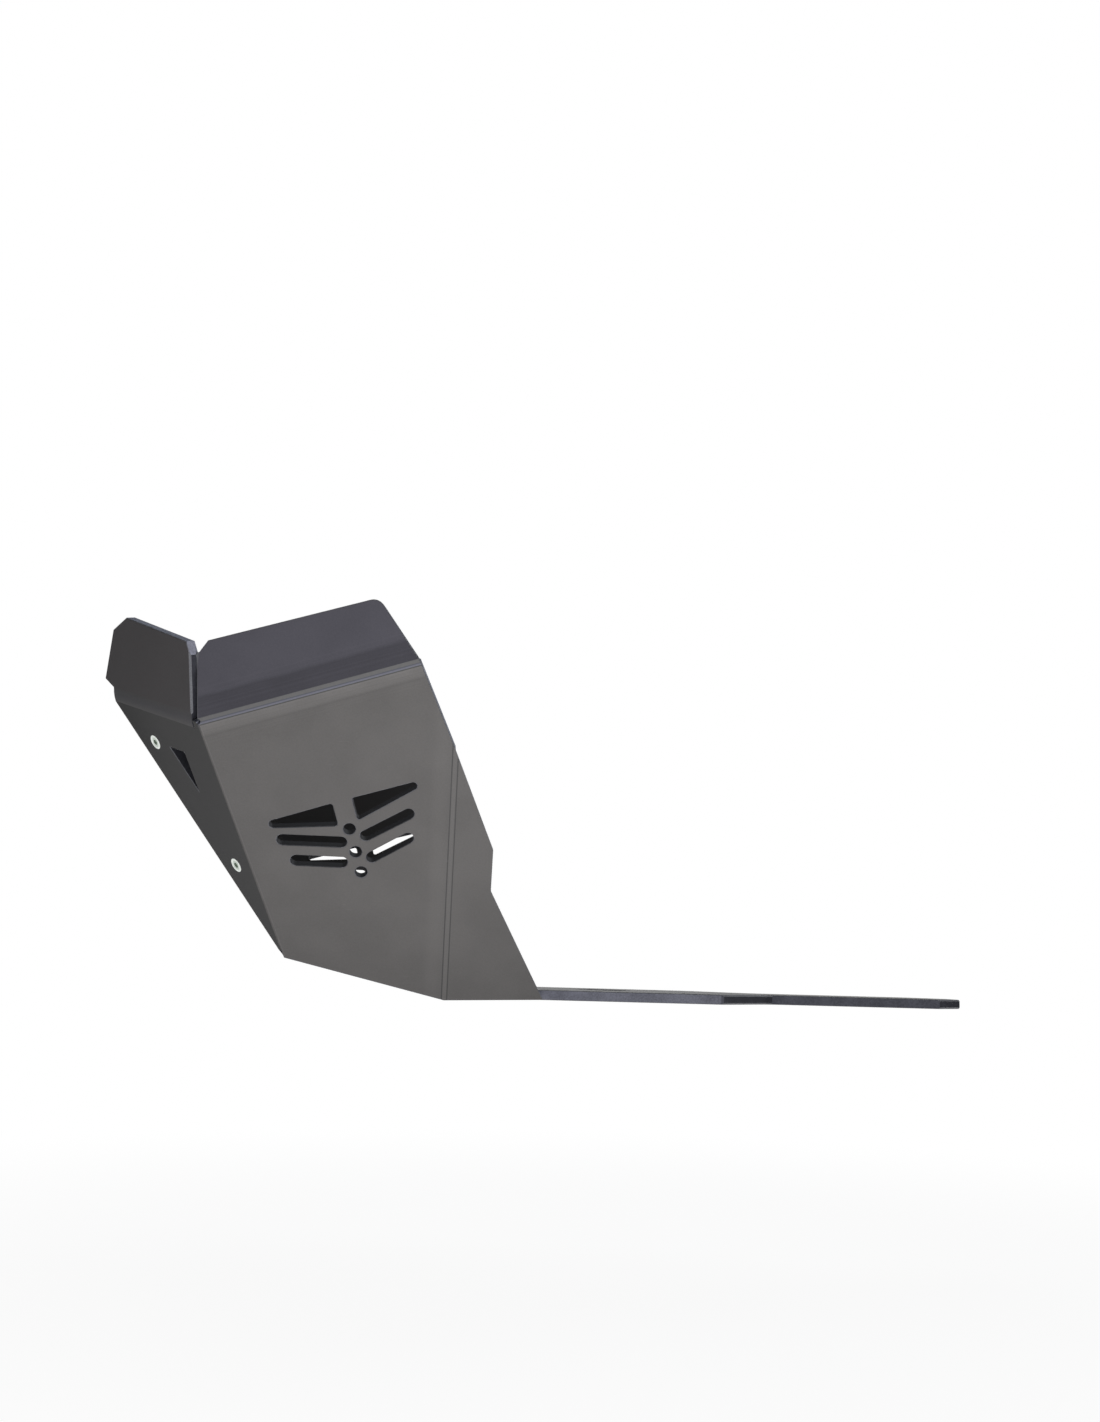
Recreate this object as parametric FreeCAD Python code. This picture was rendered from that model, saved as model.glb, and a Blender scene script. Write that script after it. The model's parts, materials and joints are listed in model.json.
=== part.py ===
"""Motorcycle skid plate: one polymer sheet, cut flat and hot-folded, with its front screws.

Millimetres, +Z up. The plate's front is towards -X and its left side towards -Y.
The origin is the centre of the belly bolt pattern, on the upper face of the belly.
Corners are given for the left half, as distance along X, half width and height, on the outer
skin of the sheet. The right half is its mirror image.
"""
import FreeCAD, Part
import math
import os

Vec = FreeCAD.Vector

# Sheet and folds
sheet = 8.0
centre_fold_radius = 3.0
wing_fold_radius = 2.0
tab_fold_radius = 30.0
chin_fold_radius = 10.0
belly_fold_radius = 40.0
fold_slit = 1.5
upper_fold_strip = 2.6
rear_fold_strip = 1.9

# Front: crown is the top of the centre fold, cheek the top of the wing fold, chin their lower end
crown_x = -410.0
crown_half = 180.0
crown_z = 218.0
cheek_x = -331.0
cheek_half = 259.0
cheek_z = 186.5
chin_x = -268.0
chin_half = 160.0
chin_z = 20.0
chin_relief = 7.0
cheek_relief = 1.8

# Side wing, in side view: heel and shoulder end the rear fold, crest ends the upper fold
heel_x = -143.0
heel_half = 139.0
heel_z = -9.8
shoulder_x = -142.9
shoulder_z = 175.4
crest_x = -171.2
crest_z = 233.7

# Tab above each front facet, along its fold from the crown and up from the fold
tab_fold = 22.0
tab_overhang = 8.7
tab_overhang_start = 10.9
tab_inner_height = 50.1
tab_inner_lean = 8.5
tab_inner_cut = 17.3
tab_top_inner = 62.0
tab_top_outer = 56.5
tab_outer_top_inset = 19.4
tab_outer_cut = 5.8
tab_outer_cut_drop = 9.1
tab_outer_inset = 7.8

# Upper flange of each wing, along the upper fold from the cheek and up from the fold
upper_fold = 28.0
upper_front_inset = 11.0
upper_front_cut = 10.7
upper_front_cut_drop = 8.5
upper_front_height = 56.5
upper_rear_height = 53.9
upper_rear_lean = 17.7
upper_rear_corner = 9.0

# Rear flange of each wing, in side view
rear_fold = 13.0
rear_step_x = -110.4
rear_step_top_z = 105.9
rear_step_low_z = 75.2
rear_foot_x = -62.7
rear_corner = 6.0

# Belly and tongue
side_gap = 2.0
belly_rear_x = 88.0
tongue_start_x = 140.0
tongue_half = 45.0
tongue_end_x = 316.0
tongue_cut = 27.0
neck_corner = 18.0

# Belly bolts, countersunk from below, and the drain plug opening
bolt_spacing_x = 116.0
bolt_spacing_y = 170.0
bolt_hole_r = 4.25
bolt_head_r = 8.6
drain_r = 24.0

# Wing vents: set about an axis that starts on the upper fold and leans forwards on its way down.
# Each slot runs between two centres, given from the axis and down from the top of the vents.
vent_axis = 86.5
vent_axis_lean = 0.0582
vent_top = 89.2
wedge_height = 18.9
wedge_inner = 7.6
wedge_outer = 57.4
wedge_tip_top = 0.6
wedge_tip_low = 6.0
wedge_tip_r = 2.9
wedge_corner_r = 1.8
slot_r = 4.3
wing_slots = (
    ((-8.5, 32.5), (-51.0, 17.9)),
    ((-12.1, 48.8), (-45.3, 37.2)),
    ((10.6, 32.5), (46.0, 24.5)),
    ((10.8, 51.2), (41.0, 43.7)),
)
vent_hole_r = 4.65
vent_hole_drops = (23.8, 43.4, 60.8)

# Vent in each front facet: a triangle set in from the three folds
facet_vent_from_wing = 35.5
facet_vent_from_centre = 35.5
facet_vent_from_tab = 32.6

# Front screws, placed from the chin along the centre fold and set in from it
screw_from_fold = 19.1
screw_first = 79.6
screw_spacing = 112.5
screw_r = 3.0
screw_thread_r = 2.7
screw_head_r = 5.8
screw_length = 25.0
screw_hole_clearance = 0.25
screw_seat_clearance = 0.1
socket_across_flats = 4.0
socket_depth = 2.4

# Length of every cutter, long enough to leave the sheet on both sides
cut_length = 6.0 * sheet


def unit(vector):
    return Vec(vector) * (1.0 / vector.Length)


def turned(vector, axis, degrees):
    return FreeCAD.Rotation(axis, degrees).multVec(vector)


class Skin:
    """A flat piece of the outer skin: a frame with u along a fold, v away from it, n outwards."""

    def __init__(self, origin, along, outward):
        self.origin = Vec(origin)
        self.u = unit(along)
        self.n = unit(outward)
        self.v = self.n.cross(self.u)

    def at(self, u, v):
        return self.origin + self.u * u + self.v * v

    def side_view(self, x, z):
        """Point of this skin that side view shows at x and z."""
        lift = (x - self.origin.x) * self.n.x + (z - self.origin.z) * self.n.z
        return Vec(x, self.origin.y - lift / self.n.y, z)

    def prism(self, wire):
        """The sheet under a closed outline on this skin."""
        return Part.Face(wire).extrude(self.n * -sheet)

    def cutter(self, wire):
        """A through cut of a closed outline on this skin."""
        raised = wire.translated(self.n * sheet)
        return Part.Face(raised).extrude(self.n * -cut_length)


def outward_normal(a, b, c, towards):
    normal = unit((b - a).cross(c - a))
    return normal if normal.dot(towards) > 0 else normal * -1.0


def outline(points):
    return Part.makePolygon(list(points) + [points[0]])


def rounded(points, radii):
    """Closed outline of straight edges, each corner rounded by its radius, or sharp at 0."""
    edges = []
    count = len(points)
    ends = []
    for i, point in enumerate(points):
        before = unit(points[i - 1] - point)
        after = unit(points[(i + 1) % count] - point)
        if radii[i] == 0:
            ends.append((point, None, point))
            continue
        half = before.getAngle(after) / 2.0
        reach = radii[i] / math.tan(half)
        middle = unit(before + after)
        top = point + middle * (radii[i] / math.sin(half) - radii[i])
        ends.append((point + before * reach, top, point + after * reach))
    for i in range(count):
        start, top, end = ends[i]
        if top is not None:
            edges.append(Part.Arc(start, top, end).toShape())
        edges.append(Part.makeLine(end, ends[(i + 1) % count][0]))
    return Part.Wire(edges)


def slot(start, end, radius, normal):
    """Closed outline of a slot with round ends about two centres."""
    along = unit(end - start)
    across = normal.cross(along) * radius
    first = Part.makeLine(start - across, end - across)
    second = Part.makeLine(end + across, start + across)
    end_arc = Part.Arc(end - across, end + along * radius, end + across).toShape()
    start_arc = Part.Arc(start + across, start - along * radius, start - across).toShape()
    return Part.Wire([first, end_arc, second, start_arc])


def circle(centre, radius, normal):
    return Part.Wire([Part.makeCircle(radius, centre, normal)])


# Corners and skins of the left half
belly_skin_z = -sheet
crown = Vec(crown_x, -crown_half, crown_z)
cheek = Vec(cheek_x, -cheek_half, cheek_z)
chin = Vec(chin_x, -chin_half, chin_z)
heel = Vec(heel_x, -heel_half, heel_z)
forward_left = Vec(-1, -1, 0)

facet_normal = outward_normal(crown, cheek, chin, forward_left)
wing_normal = outward_normal(cheek, chin, heel, Vec(0, -1, 0))
centre_normal = outward_normal(crown, chin, Vec(chin_x, chin_half, chin_z), Vec(-1, 0, 0))
slope_normal = outward_normal(chin, Vec(chin_x, chin_half, chin_z), Vec(heel_x, 0, belly_skin_z),
                              Vec(0, 0, -1))

facet = Skin(chin, cheek - chin, facet_normal)
wing_side = Skin(cheek, chin - cheek, wing_normal)
crest = wing_side.side_view(crest_x, crest_z)
shoulder = wing_side.side_view(shoulder_x, shoulder_z)
wing = Skin(cheek, cheek - crest, wing_normal)
upper_axis = unit(crest - cheek)
rear_axis = unit(shoulder - heel)
tab_axis = unit(cheek - crown)


def folded(origin, axis, normal, degrees, away_from):
    """Skin beyond a fold, turned by degrees so that the sheet closes inwards."""
    choices = [turned(normal, axis, degrees), turned(normal, axis, -degrees)]
    skins = [Skin(origin, axis, choice) for choice in choices]
    for skin in skins:
        if skin.v.dot(origin - away_from) < 0:
            skin.v = skin.v * -1.0
    return max(skins, key=lambda skin: -skin.v.dot(normal))


tab = folded(crown, tab_axis, facet_normal, tab_fold, chin)
upper = folded(cheek, upper_axis, wing_normal, upper_fold, chin)
rear = folded(heel, rear_axis, wing_normal, rear_fold, cheek)


def by_vent_axis(side, below):
    """Point of the wing skin, to one side of the vents' axis and below the top of the vents."""
    down = wing_normal.cross(upper_axis)
    down = down if down.z < 0 else down * -1.0
    drop = vent_top + below
    return cheek + upper_axis * (vent_axis - vent_axis_lean * drop + side) + down * drop


def wing_vents():
    """Outlines of the vents of the left wing."""
    wires = []
    for side in (-1, 1):
        corners = [
            by_vent_axis(side * wedge_inner, 0),
            by_vent_axis(side * wedge_outer, wedge_tip_top),
            by_vent_axis(side * wedge_outer, wedge_tip_low),
            by_vent_axis(side * wedge_inner, wedge_height),
        ]
        wires.append(rounded(corners, [wedge_corner_r, wedge_tip_r, wedge_tip_r, wedge_corner_r]))
    for start, end in wing_slots:
        wires.append(slot(by_vent_axis(*start), by_vent_axis(*end), slot_r, wing_normal))
    for drop in vent_hole_drops:
        wires.append(circle(by_vent_axis(0, drop), vent_hole_r, wing_normal))
    return wires


def wing_panel():
    panel = wing.prism(outline([chin, cheek, crest, shoulder, heel]))
    return panel.cut([wing.cutter(wire) for wire in wing_vents()])


def upper_flange():
    length = (crest - cheek).Length
    rear_top = length - upper_rear_lean
    points = [
        upper.at(0, 0),
        upper.at(upper_front_inset, upper_front_height - upper_front_cut_drop),
        upper.at(upper_front_inset + upper_front_cut, upper_front_height),
        upper.at(rear_top, upper_rear_height),
        upper.at(length, 0),
    ]
    return upper.prism(rounded(points, [0, 0, 0, upper_rear_corner, 0]))


def rear_flange():
    points = [
        heel,
        shoulder,
        rear.side_view(rear_step_x, rear_step_top_z),
        rear.side_view(rear_step_x, rear_step_low_z),
        rear.side_view(rear_foot_x, belly_skin_z),
    ]
    return rear.prism(rounded(points, [0, 0, rear_corner, rear_corner, 0]))


def bend(start, along, normal_a, normal_b, radius):
    """The sheet round a fold: an arc of it from the skin of one panel to that of the next.

    start is a point of the fold line, and along runs from there to the end of the bend.
    """
    middle = unit(normal_a + normal_b)
    centre = start - middle * (radius / math.cos(normal_a.getAngle(normal_b) / 2.0))
    inner = radius - sheet
    outside = Part.Arc(centre + normal_a * radius, centre + middle * radius, centre + normal_b * radius)
    inside = Part.Arc(centre + normal_b * inner, centre + middle * inner, centre + normal_a * inner)
    edges = [outside.toShape(), Part.makeLine(outside.EndPoint, inside.StartPoint), inside.toShape(),
             Part.makeLine(inside.EndPoint, outside.StartPoint)]
    return Part.Face(Part.Wire(edges)).extrude(along)


def setback(radius, normal_a, normal_b):
    """How far a bend of this radius reaches from its fold line into each panel."""
    return radius * math.tan(normal_a.getAngle(normal_b) / 2.0)


def meet(line_point, line_direction, other_point, other_direction):
    """Crossing of two lines that lie in one plane."""
    normal = line_direction.cross(other_direction)
    reach = (other_point - line_point).cross(other_direction).dot(normal) / normal.dot(normal)
    return line_point + line_direction * reach


# The tab's bend starts where it clears the centre fold, and ends at a slit beside the cheek
tab_setback = setback(tab_fold_radius, facet_normal, tab.n)
facet_down = facet_normal.cross(tab_axis)
facet_down = facet_down if facet_down.dot(chin - crown) > 0 else facet_down * -1.0
crown_low = meet(crown + facet_down * tab_setback, tab_axis, chin, crown - chin)
tab_start = (crown_low - crown).dot(tab_axis)
tab_end = (cheek - crown).Length - tab_outer_inset


def tab_panel():
    length = (cheek - crown).Length
    points = [
        tab.at(tab_start, tab_setback),
        tab.at(-tab_overhang, tab_overhang_start),
        tab.at(tab_inner_lean - tab_overhang, tab_inner_height),
        tab.at(tab_inner_lean - tab_overhang + tab_inner_cut, tab_top_inner),
        tab.at(length - tab_outer_top_inset, tab_top_outer),
        tab.at(length - tab_outer_top_inset + tab_outer_cut, tab_top_outer - tab_outer_cut_drop),
        tab.at(tab_end, tab_setback),
    ]
    return tab.prism(outline(points))


def tab_bend():
    return bend(tab.at(tab_start, 0), tab_axis * (tab_end - tab_start), facet_normal, tab.n, tab_fold_radius)


def facet_vent():
    """Outline of the facet's triangular vent, its edges parallel to the three folds."""
    middle = (crown + cheek + chin) * (1.0 / 3.0)
    lines = []
    folds = ((chin, cheek, facet_vent_from_wing), (chin, crown, facet_vent_from_centre),
             (crown, cheek, facet_vent_from_tab))
    for start, end, inset in folds:
        along = unit(end - start)
        inwards = facet_normal.cross(along)
        inwards = inwards if inwards.dot(middle - start) > 0 else inwards * -1.0
        lines.append((start + inwards * inset, along))
    corners = [meet(*lines[i], *lines[i - 1]) for i in range(3)]
    return outline(corners)


def screw_points():
    """Centres of the left facet's screws, on the skin."""
    along = unit(crown - chin)
    inwards = facet_normal.cross(along)
    inwards = inwards if inwards.dot(cheek - chin) > 0 else inwards * -1.0
    return [chin + along * (screw_first + step * screw_spacing) + inwards * screw_from_fold
            for step in (0, 1)]


def countersink(point, outward, head_r, hole_r):
    """A through hole with a conical seat of 90 degrees that opens on the skin."""
    cone = Part.makeCone(head_r, hole_r, head_r - hole_r, point, outward * -1.0)
    mouth = Part.makeCylinder(head_r, sheet, point, outward)
    hole = Part.makeCylinder(hole_r, cut_length, point + outward * sheet, outward * -1.0)
    return [cone, mouth, hole]


def relief(point, radius, direction):
    """A round relief drilled where folds meet."""
    axis = unit(direction)
    return Part.makeCylinder(radius, cut_length, point + axis * (cut_length / 2.0), axis * -1.0)


def facet_panel():
    slit_edge = crown + tab_axis * (tab_end + fold_slit)
    points = [chin, crown_low, slit_edge + facet_down * tab_setback, slit_edge, cheek]
    panel = facet.prism(outline(points))
    cuts = [facet.cutter(facet_vent()), relief(chin, chin_relief, facet_normal)]
    for point in screw_points():
        cuts += countersink(point, facet_normal, screw_head_r + screw_seat_clearance,
                            screw_r + screw_hole_clearance)
    return panel.cut(cuts)


def mirrored(shape):
    return shape.mirror(Vec(0, 0, 0), Vec(0, 1, 0))


def across(point):
    return Vec(point.x, -point.y, point.z)


def side_limit(skin, x, z):
    """Half width that keeps the belly clear of the lower edge of a wing or rear flange."""
    return -(skin.side_view(x, z) - skin.n * sheet).y - side_gap


# Directions and setbacks of the chin fold and the belly fold
down_slope = unit(Vec(heel_x - chin_x, 0, belly_skin_z - chin_z))
up_centre = unit(Vec(crown_x - chin_x, 0, crown_z - chin_z))
belly_normal = Vec(0, 0, -1)
chin_setback = setback(chin_fold_radius, centre_normal, slope_normal)
belly_setback = setback(belly_fold_radius, slope_normal, belly_normal)
chin_fold_half = side_limit(wing, chin_x, chin_z)
heel_fold_half = side_limit(wing, heel_x, belly_skin_z)


def symmetric(left):
    """Closed outline of points on the left, from front to rear, and their mirror image."""
    return left + [across(point) for point in reversed(left)]


def centre_panel():
    skin = Skin(chin, across(chin) - chin, centre_normal)
    corner = Vec(chin_x, -chin_fold_half - fold_slit, chin_z)
    left = [crown_low, chin, corner, corner + up_centre * chin_setback]
    corner_cut = relief(chin, chin_relief, centre_normal)
    return skin.prism(outline(symmetric(left))).cut([corner_cut, mirrored(corner_cut)])


def chin_bend():
    start = Vec(chin_x, -chin_fold_half, chin_z)
    return bend(start, across(start) - start, centre_normal, slope_normal, chin_fold_radius)


def chin_panel():
    """The rising panel between the chin fold and the belly fold."""
    front = Vec(chin_x, -chin_fold_half, chin_z) + down_slope * chin_setback
    back = Vec(heel_x, -heel_fold_half, belly_skin_z) - down_slope * belly_setback
    skin = Skin(front, Vec(0, 1, 0), slope_normal)
    return skin.prism(outline(symmetric([front, back])))


def belly_bend():
    start = Vec(heel_x, -heel_fold_half, belly_skin_z)
    return bend(start, across(start) - start, slope_normal, belly_normal, belly_fold_radius)


def belly_panel():
    """The flat belly and its rear tongue, with bolt holes and the drain plug opening."""
    foot_half = side_limit(rear, rear_foot_x, belly_skin_z)
    left = [
        Vec(heel_x + belly_setback, -heel_fold_half, belly_skin_z),
        Vec(rear_foot_x, -foot_half, belly_skin_z),
        Vec(belly_rear_x, -foot_half, belly_skin_z),
        Vec(tongue_start_x, -tongue_half, belly_skin_z),
        Vec(tongue_end_x - tongue_cut, -tongue_half, belly_skin_z),
        Vec(tongue_end_x, tongue_cut - tongue_half, belly_skin_z),
    ]
    radii = [0, 0, neck_corner, neck_corner, 0, 0]
    wire = rounded(symmetric(left), radii + radii[::-1])
    skin = Skin(left[0], Vec(0, 1, 0), belly_normal)
    panel = skin.prism(wire)
    cuts = [skin.cutter(circle(Vec(0, 0, belly_skin_z), drain_r, Vec(0, 0, 1)))]
    for x in (-bolt_spacing_x / 2.0, bolt_spacing_x / 2.0):
        for y in (-bolt_spacing_y / 2.0, bolt_spacing_y / 2.0):
            cuts += countersink(Vec(x, y, belly_skin_z), belly_normal, bolt_head_r, bolt_hole_r)
    return panel.cut(cuts)


def fold_sides(along, normal_a, normal_b):
    """Directions square to a fold, down each of the two panels that meet there."""
    side_a = normal_a.cross(along)
    side_b = normal_b.cross(along)
    side_a = side_a if side_a.dot(normal_b) < 0 else side_a * -1.0
    side_b = side_b if side_b.dot(normal_a) < 0 else side_b * -1.0
    return side_a, side_b


def rounded_fold(start, end, normal_a, normal_b, radius):
    """What a radius takes off the outside of a fold from start to end."""
    reach = setback(radius, normal_a, normal_b)
    middle = unit(normal_a + normal_b)
    centre = start - middle * (radius / math.cos(normal_a.getAngle(normal_b) / 2.0))
    side_a, side_b = fold_sides(unit(end - start), normal_a, normal_b)
    edge_a = start + side_a * reach
    edge_b = start + side_b * reach
    outside = start + middle * sheet
    edges = [Part.Arc(edge_a, centre + middle * radius, edge_b).toShape(),
             Part.makeLine(edge_b, outside), Part.makeLine(outside, edge_a)]
    return Part.Face(Part.Wire(edges)).extrude(end - start)


def flat_fold(start, end, normal_a, normal_b, width):
    """What a flat strip takes off the outside of a fold from start to end."""
    side_a, side_b = fold_sides(unit(end - start), normal_a, normal_b)
    outside = start + unit(normal_a + normal_b) * sheet
    return Part.Face(outline([start + side_a * width, outside, start + side_b * width])).extrude(end - start)


def plate():
    """The whole folded sheet as one solid."""
    half = [facet_panel(), tab_bend(), tab_panel(), wing_panel(), upper_flange(), rear_flange()]
    halves = half + [mirrored(panel) for panel in half]
    solid = centre_panel().fuse(halves + [chin_bend(), chin_panel(), belly_bend(), belly_panel()])
    past_crest = crest + upper_axis * sheet
    below_heel = heel - rear_axis * sheet
    past_shoulder = shoulder + rear_axis * sheet
    cuts = [
        relief(cheek, cheek_relief, facet_normal + wing_normal),
        rounded_fold(chin, crown_low, facet_normal, centre_normal, centre_fold_radius),
        rounded_fold(chin, cheek, facet_normal, wing_normal, wing_fold_radius),
        flat_fold(cheek, past_crest, wing_normal, upper.n, upper_fold_strip),
        flat_fold(below_heel, past_shoulder, wing_normal, rear.n, rear_fold_strip),
    ]
    return solid.cut(cuts + [mirrored(cut) for cut in cuts]).removeSplitter()


def screw(point, outward):
    """A countersunk screw with a hexagon socket, its head flush with the skin."""
    inward = outward * -1.0
    head = Part.makeCone(screw_head_r, screw_r, screw_head_r - screw_r, point, inward)
    shank = Part.makeCylinder(screw_r, sheet, point, inward)
    thread = Part.makeCylinder(screw_thread_r, screw_length - sheet, point + inward * sheet, inward)
    corner_reach = socket_across_flats / math.cos(math.pi / 6.0) / 2.0
    first = unit(Vec(0, 0, 1).cross(outward)) * corner_reach
    corners = [point + turned(first, outward, 60.0 * k) for k in range(6)]
    socket = Part.Face(outline(corners)).extrude(inward * socket_depth)
    return head.fuse([shank, thread]).cut(socket).removeSplitter()


def screws():
    left = [screw(point, facet_normal) for point in screw_points()]
    return Part.makeCompound(left + [mirrored(piece) for piece in left])


def main():
    os.makedirs("parts", exist_ok=True)
    for name, shape in (("skid_plate", plate()), ("front_screws", screws())):
        box = shape.BoundBox
        print(name, "solids", len(shape.Solids), "valid", shape.isValid(), "volume %.0f" % shape.Volume,
              "size %.1f %.1f %.1f" % (box.XLength, box.YLength, box.ZLength))
        shape.exportStep("parts/%s.step" % name)


main()
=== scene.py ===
# %% [markdown]
# # A folded skid plate
# A skid plate takes the knocks from stones and ruts. This one is a single sheet of black polymer, 8 mm
# thick, that was cut flat, warmed along straight lines and folded. Screws hold it in front, and its
# belly is drilled for bolts. The exact solids come from CAD and are loaded as a fixed frame. This lesson
# adds what the solids can't show: broken edges, cut faces, streaks beside each fold with painted
# highlights and painted shade along them, painted shade on the darker panels, the grain of the sheet,
# and bright threaded screws.

# %% Load the solids
import json
import math
from collections import namedtuple

import bmesh
import bpy
from mathutils import Matrix, Vector


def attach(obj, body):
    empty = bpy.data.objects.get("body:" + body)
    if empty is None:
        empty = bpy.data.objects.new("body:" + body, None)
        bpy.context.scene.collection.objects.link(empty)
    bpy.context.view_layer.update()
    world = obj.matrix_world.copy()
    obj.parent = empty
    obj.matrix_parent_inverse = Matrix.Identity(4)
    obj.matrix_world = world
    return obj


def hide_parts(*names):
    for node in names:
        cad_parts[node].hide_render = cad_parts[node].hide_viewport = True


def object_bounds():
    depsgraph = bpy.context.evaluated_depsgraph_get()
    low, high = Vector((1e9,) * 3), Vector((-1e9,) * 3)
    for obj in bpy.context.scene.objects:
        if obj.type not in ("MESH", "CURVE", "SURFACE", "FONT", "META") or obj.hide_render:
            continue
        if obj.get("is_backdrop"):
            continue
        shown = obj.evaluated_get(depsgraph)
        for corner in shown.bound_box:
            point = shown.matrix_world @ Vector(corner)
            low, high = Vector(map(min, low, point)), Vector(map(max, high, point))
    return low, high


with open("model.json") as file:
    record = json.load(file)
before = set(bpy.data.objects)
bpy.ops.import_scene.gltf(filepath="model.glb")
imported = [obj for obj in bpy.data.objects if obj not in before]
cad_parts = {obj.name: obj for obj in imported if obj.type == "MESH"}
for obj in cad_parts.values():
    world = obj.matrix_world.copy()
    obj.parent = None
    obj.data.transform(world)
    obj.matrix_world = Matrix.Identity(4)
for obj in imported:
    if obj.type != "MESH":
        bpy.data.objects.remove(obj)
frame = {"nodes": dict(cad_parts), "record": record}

scene = bpy.context.scene
cad_box = [list(corner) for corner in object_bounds()]
millimetre = 0.001
print("nodes", sorted(frame["nodes"]), "box", [[round(v, 4) for v in corner] for corner in cad_box])

# %% [markdown]
# The camera stands to the left of the plate, about 1.4 m away and hardly higher than the belly, and
# looks up a little. Its direction was worked out from lines of the photograph that are level or square
# on the real part, so the outline falls where it does there. A camera can be aimed with a Track To
# constraint, but a matrix made of its own right, up and backward directions also keeps the small roll.

# %% Camera
camera_place = Vector((-163.0, -1402.0, 17.3)) * millimetre
camera_forward = Vector((0.0760, 0.9839, 0.1619)).normalized()
camera_right = Vector((0.9963, -0.0815, 0.0276)).normalized()
camera_up = camera_right.cross(camera_forward).normalized()
camera_lens = 39.75

side_camera = bpy.data.objects.new("side_camera", bpy.data.cameras.new("side_camera"))
side_camera.data.lens = camera_lens
axes = Matrix((camera_right, camera_up, -camera_forward)).transposed().to_4x4()
side_camera.matrix_world = Matrix.Translation(camera_place) @ axes
scene.collection.objects.link(side_camera)
scene.camera = side_camera
print("camera", [round(v, 3) for v in side_camera.location], "lens", camera_lens)

# %% [markdown]
# Materials are trees of nodes. A few short helpers keep the lesson readable: one adds a node with its
# settings and inputs, and the others add the nodes that come up most, and give back their result. The
# Mix node has a set of sockets for each kind of data, so its colour sockets are chosen by number.

# %% Node helpers
mix_factor, mix_first, mix_second, mix_result = 0, 6, 7, 2


def add(tree, kind, inputs=None, **settings):
    """A new node. An input is a plain value, or another node's output socket to link from."""
    node = tree.nodes.new(kind)
    for name, value in settings.items():
        setattr(node, name, value)
    for key, value in (inputs or {}).items():
        if isinstance(value, bpy.types.NodeSocket):
            tree.links.new(value, node.inputs[key])
        else:
            node.inputs[key].default_value = value
    return node


def calc(tree, operation, a, b=0.0, c=0.0):
    """The result of a Math node."""
    return add(tree, "ShaderNodeMath", {0: a, 1: b, 2: c}, operation=operation).outputs[0]


def ramp(tree, value, low, high):
    """0 below low, 1 above high, and a soft step between."""
    inputs = {"Value": value, "From Min": low, "From Max": high}
    return add(tree, "ShaderNodeMapRange", inputs, interpolation_type="SMOOTHSTEP").outputs["Result"]


def blend(tree, factor, first, second, how="MIX"):
    """A colour between first and second, or first multiplied by second."""
    inputs = {mix_factor: factor, mix_first: first, mix_second: second}
    return add(tree, "ShaderNodeMix", inputs, data_type="RGBA", blend_type=how).outputs[mix_result]


def noise(tree, position, scale, detail=2.0, roughness=0.5):
    """A cloudy grey pattern."""
    inputs = {"Vector": position, "Scale": scale, "Detail": detail, "Roughness": roughness}
    return add(tree, "ShaderNodeTexNoise", inputs).outputs["Fac"]


def grey(value, tint=(1.0, 1.0, 1.0)):
    """A grey as a colour with alpha, shifted by a tint."""
    return (value * tint[0], value * tint[1], value * tint[2], 1.0)


print("mid grey", grey(0.5))

# %% [markdown]
# Extruded sheet isn't perfectly even: it has a fine grain, soft cloudy patches, and a few small scuffs
# from handling. The sheet's skin, its cut faces and its broken edges all show the same grain at
# different strengths, so the grain is one node group that each of the three materials places with its
# own values. Scuffs are a noise stretched into fine lines, kept only where a second noise allows them.

# %% Grain of the sheet, as a node group
scuff_turn = (0.4, 0.9, 0.2)
scuff_stretch = (60.0, 900.0, 900.0)
scuff_patch_scale = 31.0
scuff_line_low, scuff_line_high = 0.66, 0.74
scuff_patch_low, scuff_patch_high = 0.56, 0.70


def sheet_grain():
    tree = bpy.data.node_groups.new("sheet_grain", "ShaderNodeTree")
    tree.interface.new_socket("Position", in_out="INPUT", socket_type="NodeSocketVector")
    for name in ("Grain Scale", "Cloud Scale", "Scuff Amount"):
        tree.interface.new_socket(name, in_out="INPUT", socket_type="NodeSocketFloat")
    for name in ("Grain", "Cloud", "Scuff"):
        tree.interface.new_socket(name, in_out="OUTPUT", socket_type="NodeSocketFloat")
    source = add(tree, "NodeGroupInput").outputs
    position = source["Position"]
    grain = noise(tree, position, source["Grain Scale"], detail=3.0, roughness=0.6)
    cloud = noise(tree, position, source["Cloud Scale"])
    inputs = {"Vector": position, "Rotation": scuff_turn, "Scale": scuff_stretch}
    lines = noise(tree, add(tree, "ShaderNodeMapping", inputs).outputs[0], 1.0)
    fine = ramp(tree, lines, scuff_line_low, scuff_line_high)
    where = ramp(tree, noise(tree, position, scuff_patch_scale), scuff_patch_low, scuff_patch_high)
    scuff = calc(tree, "MULTIPLY", calc(tree, "MULTIPLY", fine, where), source["Scuff Amount"])
    add(tree, "NodeGroupOutput", {"Grain": grain, "Cloud": cloud, "Scuff": scuff})
    return tree


def placed_grain(tree, position, grain_scale, cloud_scale, scuff_amount):
    """The outputs of the grain group, placed in a material with its own values."""
    inputs = {"Position": position, "Grain Scale": grain_scale, "Cloud Scale": cloud_scale,
              "Scuff Amount": scuff_amount}
    return add(tree, "ShaderNodeGroup", inputs, node_tree=grain_group).outputs


grain_group = sheet_grain()
print("group", grain_group.name, [item.name for item in grain_group.interface.items_tree])

# %% [markdown]
# The fold marks follow the folds, so the material needs to know where the folds run. The same corner
# points as in CAD give the folds' lines and the directions square to them. The part is symmetrical, so
# only the left half is described, and the material folds the right half onto it.

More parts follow.
